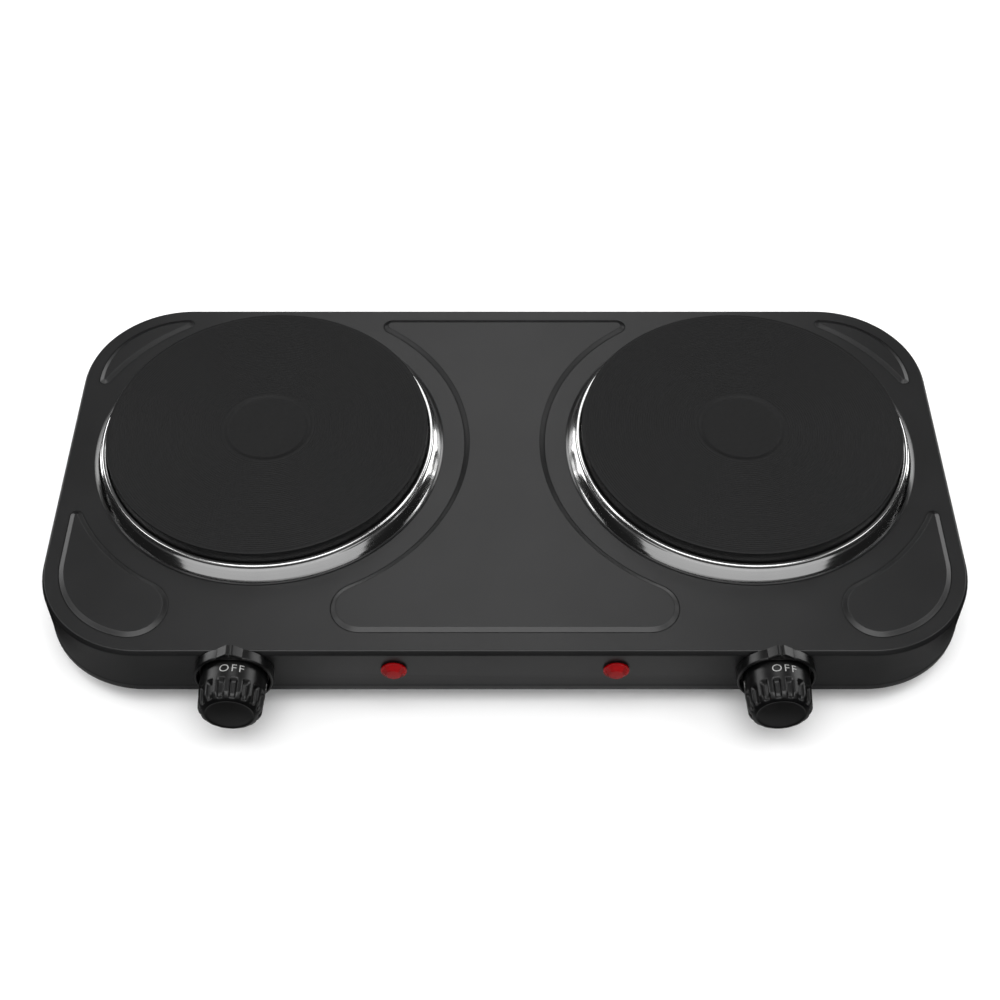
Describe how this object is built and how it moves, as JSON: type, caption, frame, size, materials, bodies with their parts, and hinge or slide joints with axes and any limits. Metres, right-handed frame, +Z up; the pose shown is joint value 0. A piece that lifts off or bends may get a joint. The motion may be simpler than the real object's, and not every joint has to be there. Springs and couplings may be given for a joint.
{
  "type": "hot plate burner",
  "caption": "Tabletop electric hot plate: cast iron plates in polished rings on a low black steel housing, with front thermostat knobs, pilot lamps and rubber feet.",
  "frame": {"origin": "on the floor under the middle of the whole object's box, level with the soles of the feet", "axes": "+X to the right as seen from the control panel, +Y to the rear, +Z up; the control panel faces -Y"},
  "size_m": [0.51, 0.294, 0.0635],
  "materials": {
    "black_enamel": "satin black baked enamel on steel sheet",
    "galvanised_sheet": "dull galvanised steel sheet",
    "cast_iron_plate": "machined cast iron with a heat-proof black coating",
    "polished_ring": "polished stainless steel",
    "insulation": "pressed mineral insulation",
    "white_ceramic": "unglazed steatite",
    "zinc_steel": "zinc plated steel",
    "gloss_black_plastic": "gloss black heat-proof plastic",
    "red_lens": "clear red moulded lens",
    "neon_glass": "small neon tube",
    "brown_sleeve": "brown insulated lead",
    "blue_sleeve": "blue insulated lead",
    "black_sleeve": "black insulated lead",
    "white_sleeve": "white insulated lead",
    "black_rubber": "moulded black rubber",
    "green_sleeve": "green insulated earth lead"
  },
  "bodies": {
    "hot_plate": {"top_housing": "black_enamel", "base_plate": "galvanised_sheet", "element_cover_left": "galvanised_sheet", "element_cover_right": "galvanised_sheet", "hotplate_left": "cast_iron_plate", "hotplate_right": "cast_iron_plate", "drip_ring_left": "polished_ring", "drip_ring_right": "polished_ring", "heating_element_left": "insulation", "heating_element_right": "insulation", "terminal_block_left": "white_ceramic", "thermostat_left": "white_ceramic", "terminal_block_right": "white_ceramic", "thermostat_right": "white_ceramic", "mains_block": "white_ceramic", "clamp_bridge_left": "zinc_steel", "centre_stud_left": "zinc_steel", "centre_nut_left": "zinc_steel", "thermostat_bracket_left": "zinc_steel", "thermostat_screw_outer_left": "zinc_steel", "thermostat_screw_inner_left": "zinc_steel", "lamp_clip_left": "zinc_steel", "foot_screw_front_left": "zinc_steel", "foot_screw_rear_left": "zinc_steel", "clamp_bridge_right": "zinc_steel", "centre_stud_right": "zinc_steel", "centre_nut_right": "zinc_steel", "thermostat_bracket_right": "zinc_steel", "thermostat_screw_outer_right": "zinc_steel", "thermostat_screw_inner_right": "zinc_steel", "lamp_clip_right": "zinc_steel", "foot_screw_front_right": "zinc_steel", "foot_screw_rear_right": "zinc_steel", "mains_block_screw": "zinc_steel", "earth_screw": "zinc_steel", "knob_bezel_left": "gloss_black_plastic", "knob_bezel_right": "gloss_black_plastic", "lamp_lens_left": "red_lens", "lamp_lens_right": "red_lens", "neon_lamp_left": "neon_glass", "neon_lamp_right": "neon_glass", "live_wire_left": "brown_sleeve", "live_wire_right": "brown_sleeve", "neutral_wire_left": "blue_sleeve", "neutral_wire_right": "blue_sleeve", "switched_wire_left": "black_sleeve", "switched_wire_right": "black_sleeve", "lamp_wire_left": "white_sleeve", "lamp_wire_right": "white_sleeve", "foot_front_left": "black_rubber", "foot_rear_left": "black_rubber", "foot_front_right": "black_rubber", "foot_rear_right": "black_rubber", "cord_gland": "black_rubber", "earth_wire": "green_sleeve"},
    "left_control": {"knob_left": "gloss_black_plastic", "thermostat_shaft_left": "zinc_steel"},
    "right_control": {"knob_right": "gloss_black_plastic", "thermostat_shaft_right": "zinc_steel"}
  },
  "joints": [
    {"name": "left_knob_turn", "type": "hinge", "parent": "hot_plate", "child": "left_control", "pos_m": [-0.1443, -0.11875, 0.032], "axis": [0, 1, 0], "range_deg": [0, 270]},
    {"name": "right_knob_turn", "type": "hinge", "parent": "hot_plate", "child": "right_control", "pos_m": [0.1443, -0.11875, 0.032], "axis": [0, 1, 0], "range_deg": [0, 270]}
  ]
}
